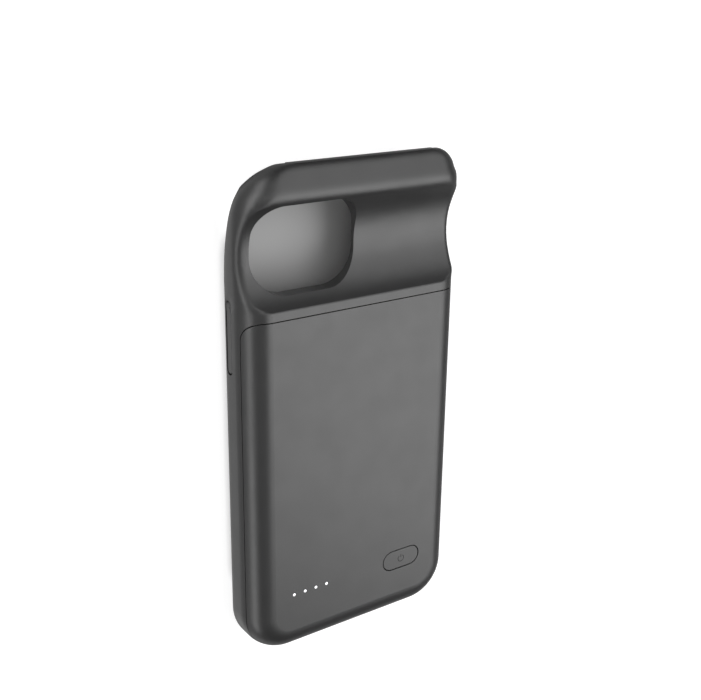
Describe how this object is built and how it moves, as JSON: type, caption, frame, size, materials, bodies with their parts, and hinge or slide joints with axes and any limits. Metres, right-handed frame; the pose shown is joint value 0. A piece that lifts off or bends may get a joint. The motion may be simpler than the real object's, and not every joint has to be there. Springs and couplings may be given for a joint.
{
  "type": "battery charging case",
  "caption": "Slim battery case with a device pocket, dock plug, sculpted camera end with a rounded cut-out, push button and charge lights.",
  "frame": {"origin": "middle of the outline at the front rim, which lies on the table", "axes": "+X across the width, +Y along the length towards the camera end, +Z out of the back"},
  "size_m": [0.0706, 0.1426, 0.016],
  "materials": {
    "frame_plastic": "soft-touch satin dark grey",
    "cover_plastic": "soft-touch satin dark grey",
    "tray_plastic": "fine matte dark grey",
    "key_plastic": "soft-touch satin dark grey",
    "light_guide": "clear-white moulded acrylic",
    "board_laminate": "green solder mask",
    "steel": "satin nickel plate",
    "dark_plastic": "matte black",
    "ceramic": "fired ceramic with tinned ends",
    "gold_contact": "thin gold plate",
    "ribbon_film": "amber film",
    "cell_foil": "satin laminated foil",
    "white_tape": "double-sided tape",
    "red_insulation": "soft wire insulation",
    "black_insulation": "soft wire insulation"
  },
  "bodies": {
    "case": {"bumper_frame": "frame_plastic", "back_cover": "cover_plastic", "pocket_tray": "tray_plastic", "light_guide": "light_guide", "indicator_leds": "light_guide", "circuit_board": "board_laminate", "cell_protection_board": "board_laminate", "board_screws": "steel", "button_switch": "dark_plastic", "controller_chip": "dark_plastic", "boost_inductor": "dark_plastic", "capacitors": "ceramic", "charge_inlet_shell": "steel", "charge_inlet_tongue": "dark_plastic", "dock_plug_blade": "steel", "dock_plug_contacts": "gold_contact", "dock_plug_base": "dark_plastic", "dock_ribbon": "ribbon_film", "battery_cell": "cell_foil", "battery_tape": "white_tape", "cell_tabs": "steel", "battery_lead_positive": "red_insulation", "battery_lead_negative": "black_insulation"},
    "power_button": {"power_button": "key_plastic"},
    "side_key": {"side_key": "key_plastic"},
    "volume_up_key": {"volume_up_key": "key_plastic"},
    "volume_down_key": {"volume_down_key": "key_plastic"}
  },
  "joints": [
    {"name": "power_button_press", "type": "slide", "parent": "case", "child": "power_button", "axis": [0, 0, -1], "range_m": [0, 0.00035], "stiffness_N_per_m": 3000},
    {"name": "side_key_press", "type": "slide", "parent": "case", "child": "side_key", "axis": [1, 0, 0], "range_m": [0, 0.0004], "stiffness_N_per_m": 3000},
    {"name": "volume_up_press", "type": "slide", "parent": "case", "child": "volume_up_key", "axis": [-1, 0, 0], "range_m": [0, 0.0004], "stiffness_N_per_m": 3000},
    {"name": "volume_down_press", "type": "slide", "parent": "case", "child": "volume_down_key", "axis": [-1, 0, 0], "range_m": [0, 0.0004], "stiffness_N_per_m": 3000}
  ]
}
